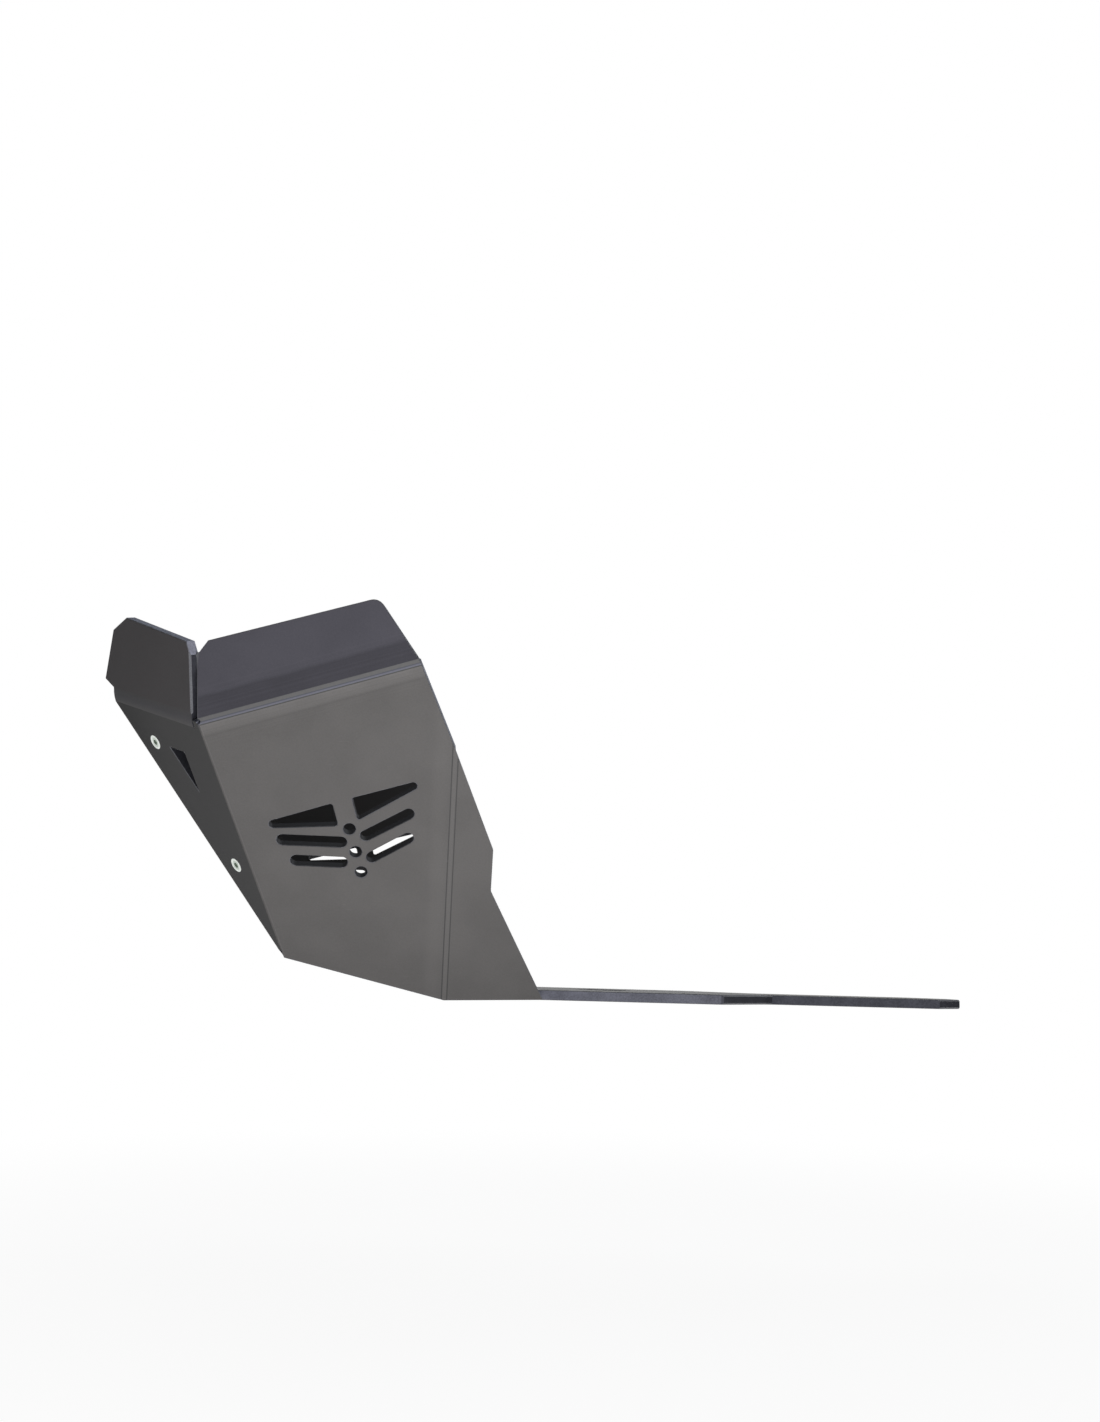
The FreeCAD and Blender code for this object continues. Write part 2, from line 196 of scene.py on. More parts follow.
# %% Folds of the left half
crown = Vector((-410.0, -180.0, 218.0)) * millimetre
cheek = Vector((-331.0, -259.0, 186.5)) * millimetre
chin = Vector((-268.0, -160.0, 20.0)) * millimetre
heel = Vector((-143.0, -139.0, -9.8)) * millimetre
crest_x, crest_z = -171.2 * millimetre, 233.7 * millimetre
shoulder_x, shoulder_z = -142.9 * millimetre, 175.4 * millimetre
upper_fold_angle = math.radians(28.0)
rear_fold_angle = math.radians(13.0)
tab_fold_angle = math.radians(22.0)
up, rearward = Vector((0, 0, 1)), Vector((1, 0, 0))
outward, outward_ahead = Vector((0, -1, 0)), Vector((-1, -1, 0))


def square_to(a, b, c, towards):
    """Unit normal of the plane through three points, on the side that towards points to."""
    normal = (b - a).cross(c - a).normalized()
    return normal if normal.dot(towards) > 0 else -normal


def turned_towards(normal, along, angle, side):
    """normal turned about along, whichever way brings it nearer to side."""
    choices = [Matrix.Rotation(sign * angle, 3, along) @ normal for sign in (-1, 1)]
    return max(choices, key=lambda choice: choice.dot(side))


def across(normal, along, side):
    """Direction in a panel, square to a fold and pointing to side."""
    direction = normal.cross(along)
    return direction if direction.dot(side) > 0 else -direction


def on_wing(x, z):
    """Point of the wing's skin that the side view shows at x and z."""
    lift = (x - cheek.x) * wing_normal.x + (z - cheek.z) * wing_normal.z
    return Vector((x, cheek.y - lift / wing_normal.y, z))


wing_normal = square_to(cheek, chin, heel, outward)
facet_normal = square_to(crown, cheek, chin, outward_ahead)
crest = on_wing(crest_x, crest_z)
shoulder = on_wing(shoulder_x, shoulder_z)
upper_along = (crest - cheek).normalized()
rear_along = (shoulder - heel).normalized()
front_along = (cheek - chin).normalized()
tab_along = (cheek - crown).normalized()
upper_normal = turned_towards(wing_normal, upper_along, upper_fold_angle, up)
rear_normal = turned_towards(wing_normal, rear_along, rear_fold_angle, rearward)
tab_normal = turned_towards(facet_normal, tab_along, tab_fold_angle, up)
print("wing faces", [round(v, 3) for v in wing_normal], "crest", [round(v, 4) for v in crest])

# %% [markdown]
# Skin and cut faces of the sheet look different, so the faces are sorted first. The solid's mesh is
# loose triangles. A copy of it is merged, and triangles that lie in one plane are joined, which also
# gives the edges a clean outline. Skin is then what the wide faces reach across gentle folds, and
# everything behind a hard edge is a cut face.

# %% Sort the faces of the plate
skin_index, cut_index, edge_index = 0, 1, 2
wide_face = 2000.0 * millimetre ** 2
gentle_fold = math.radians(35.0)
same_point = 0.001 * millimetre
shortest_edge = 0.1 * millimetre
flat_angle = math.radians(0.2)


def merged_mesh(node, name):
    """A copy of a CAD node's mesh with its doubled points merged and its flat faces joined."""
    work = bmesh.new()
    work.from_mesh(frame["nodes"][node].data)
    for closest in (same_point, shortest_edge):
        bmesh.ops.remove_doubles(work, verts=work.verts, dist=closest)
        bmesh.ops.dissolve_limit(work, angle_limit=flat_angle, verts=work.verts, edges=work.edges)
    mesh = bpy.data.meshes.new(name)
    work.to_mesh(mesh)
    work.free()
    return mesh


def sort_faces(mesh):
    """Gives skin faces and cut faces their material index."""
    work = bmesh.new()
    work.from_mesh(mesh)
    for face in work.faces:
        face.material_index = cut_index
    reached = [face for face in work.faces if face.calc_area() > wide_face]
    while reached:
        face = reached.pop()
        if face.material_index == skin_index:
            continue
        face.material_index = skin_index
        for edge in face.edges:
            if len(edge.link_faces) == 2 and edge.calc_face_angle(math.pi) < gentle_fold:
                reached += [other for other in edge.link_faces if other.material_index != skin_index]
    work.to_mesh(mesh)
    work.free()


plate_mesh = merged_mesh("skid_plate", "folded_sheet")
sort_faces(plate_mesh)
counts = [sum(p.material_index == k for p in plate_mesh.polygons) for k in (skin_index, cut_index)]
print("faces: skin", counts[0], "cut", counts[1])

# %% [markdown]
# Each skin face also remembers which panel it lies on, as a number in a face attribute that the
# materials can read. The panel is found from the face's direction, with the right half turned onto the
# left. A face that looks the opposite way belongs to the inner side, which gets a little painted shade.

# %% Mark the panels
panel_names = ("wing", "upper", "rear", "upper_strip", "rear_strip", "facet", "tab", "slit", "vent",
               "facet_vent", "tab_corner", "belly_side", "seat", "inner", "tab_top")
panel_codes = {name: number for number, name in enumerate(panel_names, start=1)}
panel_faces = {
    "wing": wing_normal,
    "upper": upper_normal,
    "rear": rear_normal,
    "upper_strip": (wing_normal + upper_normal).normalized(),
    "rear_strip": (wing_normal + rear_normal).normalized(),
    "facet": facet_normal,
    "tab": tab_normal,
}
same_facing = 0.9985


def mark_panels(mesh):
    """Writes the number of its panel to each face that looks the panel's way."""
    marks = mesh.attributes.new("panel", "FLOAT", "FACE")
    for polygon in mesh.polygons:
        facing = polygon.normal.copy()
        facing.y = facing.y if polygon.center.y < 0 else -facing.y
        for name, direction in panel_faces.items():
            if facing.dot(direction) > same_facing:
                marks.data[polygon.index].value = panel_codes[name]
            elif facing.dot(direction) < -same_facing:
                marks.data[polygon.index].value = panel_codes["inner"]


mark_panels(plate_mesh)
print("inner faces", sum(round(m.value) == panel_codes["inner"] for m in plate_mesh.attributes["panel"].data))

# %% [markdown]
# Cut faces hang together in closed rings. A small ring is the wall of a vent or of a screw's seat. The
# one large ring runs around the whole outline, and there a face is named by the way it looks: the slit,
# the cut corner and the top of each tab, and the sides of the belly.

# %% Mark the cut faces
largest_vent = 75.0 * millimetre
largest_hole = 20.0 * millimetre
belly_reach = 100.0 * millimetre
corner_along, corner_up = 9.1, 5.8
slit_facing, corner_facing, edge_facing = 0.9, 0.97, 0.95


def rings_of(faces):
    """Splits faces into the rings that hang together by their edges."""
    waiting = set(faces)
    while waiting:
        ring = []
        reached = [waiting.pop()]
        while reached:
            face = reached.pop()
            ring.append(face)
            beside = {other for edge in face.edges for other in edge.link_faces if other in waiting}
            waiting -= beside
            reached += beside
        yield ring


def mark_cuts(mesh):
    """Writes their number to the walls of vents and seats and to the named faces of the outline."""
    work = bmesh.new()
    work.from_mesh(mesh)
    panel = work.faces.layers.float["panel"]
    tab_up = across(tab_normal, tab_along, up)
    corner_normal = (tab_along * corner_along + tab_up * corner_up).normalized()
    for ring in rings_of([face for face in work.faces if face.material_index == cut_index]):
        corners = [vert.co for face in ring for vert in face.verts]
        reach = max(max(c[k] for c in corners) - min(c[k] for c in corners) for k in range(3))
        hole = "vent"
        if max(c.x for c in corners) < chin.x - largest_hole:
            hole = "facet_vent" if reach > largest_hole else "seat"
        for face in ring:
            facing = Vector((face.normal.x, -abs(face.normal.y), face.normal.z))
            if reach < largest_vent:
                face[panel] = panel_codes[hole]
            elif facing.dot(tab_along) > slit_facing:
                face[panel] = panel_codes["slit"]
            elif facing.dot(corner_normal) > corner_facing:
                face[panel] = panel_codes["tab_corner"]
            elif facing.dot(tab_up) > edge_facing:
                face[panel] = panel_codes["tab_top"]
            elif facing.y < -edge_facing and abs(face.calc_center_median().y) > belly_reach:
                face[panel] = panel_codes["belly_side"]
    work.to_mesh(mesh)
    work.free()


mark_cuts(plate_mesh)
print("panels", {name: sum(round(m.value) == code for m in plate_mesh.attributes["panel"].data)
                 for name, code in panel_codes.items()})

# %% [markdown]
# A mark beside a fold needs the distance from that fold. It is a dot product of the place on the sheet
# with the direction square to the fold, so each mark is a soft step in that distance. The crown's row
# measures along the tab's fold instead, from the corner where it starts.

# %% Distances from the folds
fold_lines = {
    "upper": (cheek, across(wing_normal, upper_along, -up)),
    "rear": (heel, across(wing_normal, rear_along, rearward)),
    "front": (chin, across(wing_normal, front_along, rearward)),
    "tab": (crown, across(facet_normal, tab_along, -up)),
    "crown": (crown, tab_along),
}
code_tolerance = 0.1


def symmetric_position(tree, place):
    """Object coordinates with the right half turned onto the left."""
    parts = add(tree, "ShaderNodeSeparateXYZ", {0: place}).outputs
    left = calc(tree, "MULTIPLY", calc(tree, "ABSOLUTE", parts["Y"]), -1.0)
    return add(tree, "ShaderNodeCombineXYZ", {"X": parts["X"], "Y": left, "Z": parts["Z"]}).outputs[0]


def distance_from(tree, position, origin, direction):
    """Distance in millimetres from a fold, along a direction square to it."""
    scaled = direction / millimetre
    inputs = {0: position, 1: scaled}
    dot = add(tree, "ShaderNodeVectorMath", inputs, operation="DOT_PRODUCT").outputs["Value"]
    return calc(tree, "SUBTRACT", dot, origin.dot(scaled))


def band(tree, distance, start, end, soft):
    """1 between two distances, with soft ends."""
    rise = ramp(tree, distance, start - soft, start + soft)
    fall = ramp(tree, distance, end - soft, end + soft)
    return calc(tree, "SUBTRACT", rise, fall)


def is_panel(tree, panel, name):
    """1 on the faces of one panel."""
    return calc(tree, "COMPARE", panel, float(panel_codes[name]), code_tolerance)


def total(tree, *masks):
    """The sum of several masks."""
    result = masks[0]
    for mask in masks[1:]:
        result = calc(tree, "ADD", result, mask)
    return result


print("folds", sorted(fold_lines))

# %% [markdown]
# The skin is a warm dark grey with a cloudy variation. The panels' tones are painted light and shade:
# the facet and the tab are darkened as painted shade, the inner side a little, and the upper flange gets
# the cool tint of painted sky light. Below the upper fold the wing has a paler band of painted highlight,
# the flange above it has a darker, smoother band, and fine streaks run along both. The fold itself has a
# bright strip of painted highlight with a dark crease of painted shade, and the rear fold shows two dark
# creases of painted shade around a faintly lit bend, painted too, with a slightly paler band on the wing
# ahead of it. A thin painted highlight runs along the wing's front fold, the tab's bend gets painted
# shade, and the facet's painted shade is darkest in the corner beside the crown.

# %% Tones and marks of the skin
warm = (1.03, 1.0, 0.975)
cool = (0.96, 0.98, 1.06)
blue = (0.97, 1.0, 1.2)
# Painted shade on the front facet, the tab and the inner side; a cool painted sky light on the upper flange.
painted_panel_shading = {
    "upper": (1.01, 1.02, 1.23, 1.0),
    "facet": (0.52, 0.53, 0.545, 1.0),
    "tab": (0.88, 0.86, 0.9, 1.0),
    "inner": (0.68, 0.68, 0.7, 1.0),
}
FoldBand = namedtuple("FoldBand", "fold panel start end soft tone")
# Painted highlights: the wing's band below the upper fold and its line beside the front fold.
wing_highlight_band = FoldBand("wavy upper", "wing", start=0.0, end=10.0, soft=3.5, tone=1.27)
wing_rear_band = FoldBand("rear", "wing", start=-15.0, end=-5.0, soft=3.5, tone=1.07)
flange_dark_band = FoldBand("wavy upper", "upper", start=-16.0, end=4.0, soft=2.0, tone=0.72)
wing_front_highlight = FoldBand("front", "wing", start=-1.0, end=1.3, soft=0.5, tone=1.2)
Stripe = namedtuple("Stripe", "start end soft colour")
# Painted highlights along the upper fold, with a dark crease of painted shade at its lower edge.
upper_fold_highlights_and_shade = (
    Stripe(-2.4, 0.3, 0.2, grey(0.14)),
    Stripe(0.3, 1.0, 0.2, grey(0.105, blue)),
    Stripe(1.0, 2.2, 0.2, grey(0.165, blue)),
    Stripe(2.3, 3.0, 0.2, grey(0.075)),
)
# Two dark creases of painted shade beside the rear fold, with a faint painted light between them.
rear_fold_shade_and_light = (
    Stripe(-2.6, -1.8, 0.3, grey(0.06)),
    Stripe(-1.4, 1.2, 0.4, grey(0.115, warm)),
    Stripe(1.7, 2.5, 0.3, grey(0.06)),
)


def striped(tree, colour, distance, where, stripes):
    """Paints stripes of painted highlight and painted shade along a fold."""
    for stripe in stripes:
        here = calc(tree, "MULTIPLY", band(tree, distance, stripe.start, stripe.end, stripe.soft), where)
        colour = blend(tree, here, colour, stripe.colour)
    return colour


def band_mask(tree, away, on, mark):
    """1 where a band along a fold lies, with soft ends."""
    mask = band(tree, away[mark.fold], mark.start, mark.end, mark.soft)
    return calc(tree, "MULTIPLY", mask, on[mark.panel])


def banded(tree, colour, away, on, mark):
    """A colour multiplied by the tone of one band."""
    return blend(tree, band_mask(tree, away, on, mark), colour, grey(mark.tone), "MULTIPLY")


print("panel tints", sorted(painted_panel_shading), "stripes", len(upper_fold_highlights_and_shade) + len(rear_fold_shade_and_light))

# %% [markdown]
# Now the skin's material puts these together, from the sheet's own colour to the scuffs on top. The dark
# band is also a little smoother, and the grain is a very shallow bump.

# %% Colour of the sheet's skin
sheet_dark, sheet_pale = grey(0.1, warm), grey(0.11, warm)
cloud_low, cloud_middle, cloud_high = 0.3, 0.5, 0.7
cloud_wander = 5.0
lowest_code = 0.5
streak_scale, streak_range, streak_least = 0.45, 0.4, 0.8
speckle_range, speckle_least = 0.24, 0.88
heated_zone = (-20.0, 16.0, 6.0)
# Painted shade, with a cool tint of painted sky light, on the tab's bend.
bend_zone, tab_bend_shade = (-5.0, 5.0, 5.0), grey(0.82, cool)
# Painted shade in the facet's corner beside the crown.
corner_beside, corner_below, crown_corner_shade = (-40.0, 40.0, 35.0), (-60.0, 70.0, 45.0), grey(0.62)
scuff_cover, scuff_colour = 0.5, grey(0.17, warm)


def streaks_and_painted_folds(tree, colour, away, on):
    """The streaks beside the folds of the wing, and the painted highlights and painted shade along them."""
    inputs = {"W": away["upper"], "Scale": streak_scale, "Detail": 3.0}
    streaks = add(tree, "ShaderNodeTexNoise", inputs, noise_dimensions="1D").outputs["Fac"]
    streaks = calc(tree, "MULTIPLY_ADD", streaks, streak_range, streak_least)
    beside = total(tree, on["wing"], on["upper"])
    heated = calc(tree, "MULTIPLY", beside, band(tree, away["upper"], *heated_zone))
    colour = blend(tree, heated, colour, streaks, "MULTIPLY")
    fold = total(tree, beside, on["upper_strip"])
    colour = striped(tree, colour, away["upper"], fold, upper_fold_highlights_and_shade)
    fold = total(tree, on["wing"], on["rear"], on["rear_strip"])
    colour = striped(tree, colour, away["rear"], fold, rear_fold_shade_and_light)
    # Painted highlight along the wing's front fold.
    return banded(tree, colour, away, on, wing_front_highlight)


def skin_colour(tree, grain, panel, position):
    """The colour of the skin, and the mask of its dark band."""
    on = {name: is_panel(tree, panel, name) for name in (*panel_faces, "inner")}
    away = {name: distance_from(tree, position, *line) for name, line in fold_lines.items()}
    wander = calc(tree, "MULTIPLY", calc(tree, "SUBTRACT", grain["Cloud"], cloud_middle), cloud_wander)
    away["wavy upper"] = calc(tree, "ADD", away["upper"], wander)
    colour = blend(tree, ramp(tree, grain["Cloud"], cloud_low, cloud_high), sheet_dark, sheet_pale)
    # Each panel's painted light and shade.
    for name, tint in painted_panel_shading.items():
        colour = blend(tree, on[name], colour, tint, "MULTIPLY")
    # Painted highlight on the wing below the upper fold.
    colour = banded(tree, colour, away, on, wing_highlight_band)
    colour = banded(tree, colour, away, on, wing_rear_band)
    dark = band_mask(tree, away, on, flange_dark_band)
    colour = blend(tree, dark, colour, grey(flange_dark_band.tone), "MULTIPLY")
    colour = streaks_and_painted_folds(tree, colour, away, on)
    unmarked = calc(tree, "LESS_THAN", panel, lowest_code)
    # Painted shade, with a cool tint of painted sky light, on the tab's bend.
    bend = calc(tree, "MULTIPLY", band(tree, away["tab"], *bend_zone), unmarked)
    colour = blend(tree, bend, colour, tab_bend_shade, "MULTIPLY")
    # Painted shade in the facet's corner beside the crown.
    beside, below = band(tree, away["crown"], *corner_beside), band(tree, away["tab"], *corner_below)
    corner = calc(tree, "MULTIPLY", calc(tree, "MULTIPLY", beside, below), on["facet"])
    colour = blend(tree, corner, colour, crown_corner_shade, "MULTIPLY")
    speckle = calc(tree, "MULTIPLY_ADD", grain["Grain"], speckle_range, speckle_least)
    colour = blend(tree, 1.0, colour, speckle, "MULTIPLY")
    colour = blend(tree, calc(tree, "MULTIPLY", grain["Scuff"], scuff_cover), colour, scuff_colour)
    return colour, dark


print("sheet colours", [round(v, 3) for v in sheet_dark[:3]], [round(v, 3) for v in sheet_pale[:3]])

# %% [markdown]
# All the materials of this part start and end alike, so two helpers do that. One makes a material and
# gives the place on the object, and one links a colour, a roughness and a shallow bump to its shader.

# %% Material of the sheet's skin
skin_roughness, skin_roughness_range, dark_band_polish = 0.42, 0.16, 0.06
skin_gloss = 0.06
skin_bump, skin_bump_depth = 0.25, 0.12 * millimetre


def new_material(name):
    """A material, its tree, its shader and the place on the object."""
    material = bpy.data.materials.new(name)
    material.use_nodes = True
    tree = material.node_tree
    place = add(tree, "ShaderNodeTexCoord").outputs["Object"]
    return material, tree, tree.nodes["Principled BSDF"], place


def link_shader(tree, shader, colour, roughness, bump_strength, bump_depth, bump_height):
    """Links colour, roughness and bump to a shader."""
    inputs = {"Strength": bump_strength, "Distance": bump_depth, "Height": bump_height}
    bump = add(tree, "ShaderNodeBump", inputs).outputs["Normal"]
    tree.links.new(colour, shader.inputs["Base Color"])
    tree.links.new(roughness, shader.inputs["Roughness"])
    tree.links.new(bump, shader.inputs["Normal"])


def skin_material():
    material, tree, shader, place = new_material("sheet_skin")
    grain = placed_grain(tree, place, grain_scale=900.0, cloud_scale=26.0, scuff_amount=0.5)
    panel = add(tree, "ShaderNodeAttribute", attribute_name="panel").outputs["Fac"]
    colour, dark = skin_colour(tree, grain, panel, symmetric_position(tree, place))
    rough = calc(tree, "MULTIPLY_ADD", grain["Cloud"], skin_roughness_range, skin_roughness)
    rough = calc(tree, "SUBTRACT", rough, calc(tree, "MULTIPLY", dark, dark_band_polish))
    shader.inputs["Specular IOR Level"].default_value = skin_gloss
    link_shader(tree, shader, colour, rough, skin_bump, skin_bump_depth, grain["Grain"])
    return material


skin = skin_material()
print("material", skin.name, "nodes", len(skin.node_tree.nodes))

# %% [markdown]
# A cut face is where a router went through the sheet. It is rougher than the skin, with fine lines, and
# its blue tint is painted sky light. The walls of the slits and vents are darkened as painted shade, while
# the belly's sides, the tab's edges and all cut faces that look upwards are paler with painted light. The
# broken edge is paler still, partly because scraping leaves a dull, slightly whitened surface and partly
# as a painted highlight. Both materials have the same tree, so one function makes them from their own
# values.

# %% Materials of the cut faces and broken edges
# Painted shade in the slits and vents; painted light on the tab's corner and top and on the belly's sides.
cut_light_and_shade = {"slit": 0.48, "vent": 0.1, "facet_vent": 0.1, "tab_corner": 1.7, "belly_side": 1.75,
             "tab_top": 2.4}
# On the broken edges: painted highlights along the slit, the tab and the facet's vents, painted shade in the
# wing's vents.
edge_light_and_shade = {"slit": 1.8, "tab": 1.4, "vent": 0.5, "facet_vent": 2.6, "tab_top": 2.4}
line_share, cloud_share = 0.6, 0.4
upward_from, upward_full = 0.05, 0.25
cut_roughness_range = 0.15
cut_gloss = 0.04
cut_bump, cut_bump_depth = 0.5, 0.2 * millimetre


def cut_material(name, dark, pale, tint, tones, skylight_tone, roughness, line_scale):
    material, tree, shader, place = new_material(name)
    grain = placed_grain(tree, place, grain_scale=line_scale, cloud_scale=60.0, scuff_amount=1.0)
    clouds = calc(tree, "MULTIPLY", grain["Cloud"], cloud_share)
    pattern = calc(tree, "MULTIPLY_ADD", grain["Grain"], line_share, clouds)
    colour = blend(tree, ramp(tree, pattern, cloud_low, cloud_high), grey(dark, tint), grey(pale, tint))
    panel = add(tree, "ShaderNodeAttribute", attribute_name="panel").outputs["Fac"]
    # Painted light and shade on the named faces.
    for part, tone in tones.items():
        colour = blend(tree, is_panel(tree, panel, part), colour, grey(tone), "MULTIPLY")
    # Faces that look upwards get painted sky light.
    facing = add(tree, "ShaderNodeNewGeometry").outputs["Normal"]
    height = add(tree, "ShaderNodeSeparateXYZ", {0: facing}).outputs["Z"]
    upward = ramp(tree, height, upward_from, upward_full)
    colour = blend(tree, upward, colour, grey(skylight_tone), "MULTIPLY")
    rough = calc(tree, "MULTIPLY_ADD", grain["Grain"], cut_roughness_range, roughness)
    shader.inputs["Specular IOR Level"].default_value = cut_gloss
    link_shader(tree, shader, colour, rough, cut_bump, cut_bump_depth, grain["Grain"])
    return material


# The blue and cool tints are painted sky light.
cut_face = cut_material("cut_face", dark=0.07, pale=0.115, tint=blue, tones=cut_light_and_shade, skylight_tone=2.6,
                        roughness=0.6, line_scale=700.0)
broken_edge = cut_material("broken_edge", dark=0.1, pale=0.17, tint=cool, tones=edge_light_and_shade, skylight_tone=1.3,
                           roughness=0.42, line_scale=1200.0)
print("materials", cut_face.name, broken_edge.name)

# %% [markdown]
# The solid has knife-sharp edges, and no real cut sheet does: its edges are broken with a scraper, and
# that narrow chamfer catches the light as a thin pale line. Bevel is the tool for it, and it gives the
# new faces the material of their own. Only edges between skin and cut faces get a bevel weight. The
# slits are broken wider than the rest, so Bevel runs twice, each time with one even width. With Loop
# Slide and Clamp Overlap off, that width doesn't change along the outline. Tight corners, where several
# folds meet, keep their sharp edges.

# %% Break the edges of the plate
edge_break = 0.5 * millimetre
slit_break = 1.4 * millimetre
hard_edge = math.radians(40.0)
knife_edge = math.radians(115.0)
corner_reach = 14.0 * millimetre
weight_name = "bevel_weight_edge"
plate = bpy.data.objects.new("folded_plate", plate_mesh)
scene.collection.objects.link(plate)
for material in (skin, cut_face, broken_edge):
    plate_mesh.materials.append(material)


def weigh_edges(mesh, in_slit):
    """Gives bevel weight to the hard edges of the slits, or to all the other hard edges."""
    weights = mesh.attributes.get(weight_name) or mesh.attributes.new(weight_name, "FLOAT", "EDGE")
    work = bmesh.new()
    work.from_mesh(mesh)
    panel = work.faces.layers.float["panel"]
    tight = [Vector((c.x, side * c.y, c.z)) for c in (chin, cheek, crown, heel) for side in (-1, 1)]
    for index, edge in enumerate(work.edges):
        middle = (edge.verts[0].co + edge.verts[1].co) / 2.0
        codes = [round(face[panel]) for face in edge.link_faces]
        kinds = {face.material_index for face in edge.link_faces}
        chosen = kinds == {skin_index, cut_index} and hard_edge < edge.calc_face_angle(0.0) < knife_edge
        chosen = chosen and min((middle - corner).length for corner in tight) > corner_reach
        chosen = chosen and panel_codes["seat"] not in codes and in_slit == (panel_codes["slit"] in codes)
        weights.data[index].value = float(chosen)
    work.free()


def apply_modifiers(piece):
    """Keeps the evaluated mesh of a piece and removes its modifiers."""
    bpy.context.view_layer.update()
    graph = bpy.context.evaluated_depsgraph_get()
    mesh = bpy.data.meshes.new_from_object(piece.evaluated_get(graph))
    piece.modifiers.clear()
    piece.data = mesh
    return mesh


def break_edges(piece, in_slit, width):
    """Chamfers the weighed edges by one even width."""
    weigh_edges(piece.data, in_slit)
    breaking = piece.modifiers.new("broken_edges", "BEVEL")
    breaking.width = width
    breaking.segments = 1
    breaking.limit_method = "WEIGHT"
    breaking.material = edge_index
    breaking.loop_slide = False
    breaking.use_clamp_overlap = False
    return apply_modifiers(piece)


break_edges(plate, True, slit_break)
finished = break_edges(plate, False, edge_break)
print("broken edges", sum(p.material_index == edge_index for p in finished.polygons))

# %% [markdown]
# Weighted Normal lets the wide faces keep their own direction, so a fold shades softly without bending
# the light on the panels beside it. The evaluated result is a plain mesh that stands in for the CAD node.

# %% Shade the plate
plate_crease = math.radians(32.0)
finished.shade_smooth()
finished.set_sharp_from_angle(angle=plate_crease)
shading = plate.modifiers.new("weighted_normals", "WEIGHTED_NORMAL")
shading.keep_sharp = True
shading.weight = 100
apply_modifiers(plate)
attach(plate, "root")
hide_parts("skid_plate")
print("plate faces", len(plate.data.polygons))

# %% [markdown]
# The screws are zinc-plated machine screws with a countersunk head and a hexagon socket. All of them
# are the same, so one Geometry Nodes tree makes a screw from named sizes and places it on points. The
# head is a cone with a six-sided prism cut out of it. It also stores how far each point is from the
# axis, as an attribute named rim, which the plating reads later.

# %% Head of a screw
head_sides, socket_sides = 64, 6


def moved(tree, geometry, height):
    """Geometry shifted along its own Z."""
    offset = add(tree, "ShaderNodeCombineXYZ", {"Z": height}).outputs[0]
    return add(tree, "GeometryNodeTransform", {"Geometry": geometry, "Translation": offset}).outputs[0]


def position_parts(tree):
    """X, Y and Z of the point that a field looks at."""
    return add(tree, "ShaderNodeSeparateXYZ", {0: add(tree, "GeometryNodeInputPosition").outputs[0]}).outputs


def screw_head(tree, size, head_depth):
    """A countersunk head with its top at height 0 and a hexagon socket."""
    inputs = {"Vertices": head_sides, "Radius Top": size["Head Radius"],
              "Radius Bottom": size["Shank Radius"], "Depth": head_depth}
    cone = add(tree, "GeometryNodeMeshCone", inputs).outputs["Mesh"]
    cone = moved(tree, cone, calc(tree, "MULTIPLY", head_depth, -1.0))
    corner = calc(tree, "DIVIDE", size["Socket Flats"], 2.0 * math.cos(math.pi / socket_sides))
    inputs = {"Vertices": socket_sides, "Radius": corner,
              "Depth": calc(tree, "MULTIPLY", size["Socket Depth"], 2.0)}
    cutter = add(tree, "GeometryNodeMeshCylinder", inputs).outputs["Mesh"]
    socketed = add(tree, "GeometryNodeMeshBoolean", operation="DIFFERENCE", solver="EXACT")
    tree.links.new(cone, socketed.inputs["Mesh 1"])
    tree.links.new(cutter, socketed.inputs["Mesh 2"])
    spot = position_parts(tree)
    flat = add(tree, "ShaderNodeCombineXYZ", {"X": spot["X"], "Y": spot["Y"]}).outputs[0]
    radius = add(tree, "ShaderNodeVectorMath", {0: flat}, operation="LENGTH").outputs["Value"]
    inputs = {"Geometry": socketed.outputs[0], "Name": "rim",
              "Value": calc(tree, "DIVIDE", radius, size["Head Radius"])}
    return add(tree, "GeometryNodeStoreNamedAttribute", inputs, data_type="FLOAT", domain="POINT").outputs[0]


print("head sides", head_sides, "socket sides", socket_sides)

# %% [markdown]
# The thread is a cylinder whose points move inwards by a saw wave of height and angle, which makes a
# true helix. Between head and thread the shank is plain, as long as the sheet is thick.

# %% Shank and thread of a screw
shank_sides, thread_sides, thread_rows = 48, 36, 96


def screw_shank(tree, size, head_depth):
    """The plain part between the head and the thread."""
    length = calc(tree, "SUBTRACT", size["Plain Length"], head_depth)
    inputs = {"Vertices": shank_sides, "Radius": size["Shank Radius"], "Depth": length}
    shank = add(tree, "GeometryNodeMeshCylinder", inputs).outputs["Mesh"]
    middle = calc(tree, "MULTIPLY_ADD", length, -0.5, calc(tree, "MULTIPLY", head_depth, -1.0))
    return moved(tree, shank, middle)


